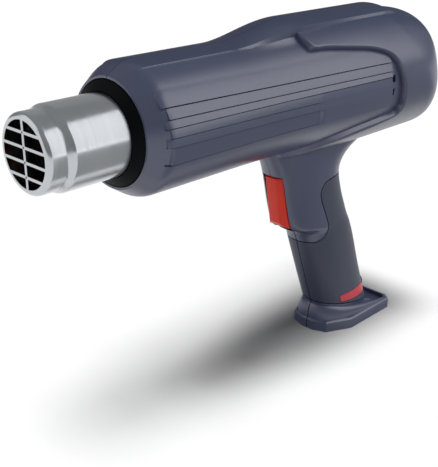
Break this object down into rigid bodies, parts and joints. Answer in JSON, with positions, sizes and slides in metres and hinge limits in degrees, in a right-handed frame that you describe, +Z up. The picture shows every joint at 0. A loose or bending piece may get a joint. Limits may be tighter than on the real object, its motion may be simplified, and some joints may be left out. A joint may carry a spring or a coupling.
{
  "type": "hot air tool",
  "caption": "Pistol-grip hot air tool with a barred steel nozzle, slatted clamshell housing, swept hood, sprung trigger, inner blower and heater, and a broad standing foot.",
  "frame": {"origin": "on the foot's flat underside, on the seam, below the handle's lower end", "axes": "+X from the nozzle back to the intake, +Y to the side that the screws are driven from, +Z up"},
  "size_m": [0.2579, 0.0694, 0.1811],
  "materials": {
    "body": "fine moulded grain",
    "grip": "soft matt skin",
    "black_plastic": "matt",
    "red_plastic": "satin",
    "nozzle_steel": "satin",
    "steel": "bright",
    "core_iron": "stacked sheets",
    "ferrite": "ground",
    "copper": "bare",
    "mica": "flaked",
    "board": "lacquered",
    "white_plastic": "plain",
    "black_rubber": "matt",
    "red_lead": "matt"
  },
  "bodies": {
    "tool": {"housing_left": "body", "housing_right": "body", "grip_left": "grip", "grip_right": "grip", "accent_left": "red_plastic", "accent_right": "red_plastic", "screw_barrel_front_upper": "steel", "screw_barrel_front_lower": "steel", "screw_barrel_middle_upper": "steel", "screw_barrel_middle_lower": "steel", "screw_barrel_rear_upper": "steel", "screw_barrel_rear_lower": "steel", "screw_handle_upper": "steel", "screw_handle_lower": "steel", "nozzle_cap": "nozzle_steel", "nozzle_tube": "nozzle_steel", "heat_collar": "black_plastic", "mica_sleeve": "mica", "heater_former": "mica", "heater_coil": "copper", "heater_end_plate": "mica", "thermal_cutout": "steel", "fan_shroud": "black_plastic", "motor_can": "steel", "magnet_upper": "ferrite", "magnet_lower": "ferrite", "brush_left": "black_plastic", "brush_right": "black_plastic", "motor_end_cap": "steel", "bearing_front": "copper", "bearing_rear": "copper", "rectifier_board": "board", "motor_mount": "black_plastic", "intake_grille": "black_plastic", "trigger_pin": "steel", "trigger_spring": "steel", "trigger_switch": "black_plastic", "cord_gland": "black_rubber", "supply_lead": "black_rubber", "motor_lead": "red_lead", "heater_lead": "white_plastic"},
    "rotor": {"fan": "white_plastic", "motor_shaft": "steel", "armature": "core_iron", "armature_winding": "copper", "commutator": "copper"},
    "trigger_lever": {"trigger": "red_plastic"},
    "plunger": {"switch_plunger": "white_plastic"}
  },
  "joints": [
    {"name": "fan_spin", "type": "hinge", "parent": "tool", "child": "rotor", "pos_m": [0, 0, 0.146], "axis": [1, 0, 0], "continuous": true},
    {"name": "trigger_pull", "type": "hinge", "parent": "tool", "child": "trigger_lever", "pos_m": [-0.0525, 0, 0.1], "axis": [0, -1, 0], "range_deg": [0, 12], "stiffness_Nm_per_rad": 0.1, "springref_deg": -11.46, "deforming": ["trigger_spring"]},
    {"name": "plunger_slide", "type": "slide", "parent": "tool", "child": "plunger", "axis": [1, 0, 0], "range_m": [0, 0.0045]}
  ],
  "couplings": [
    {"joint": "plunger_slide", "follows": "trigger_pull", "m_per_rad": 0.0205}
  ]
}
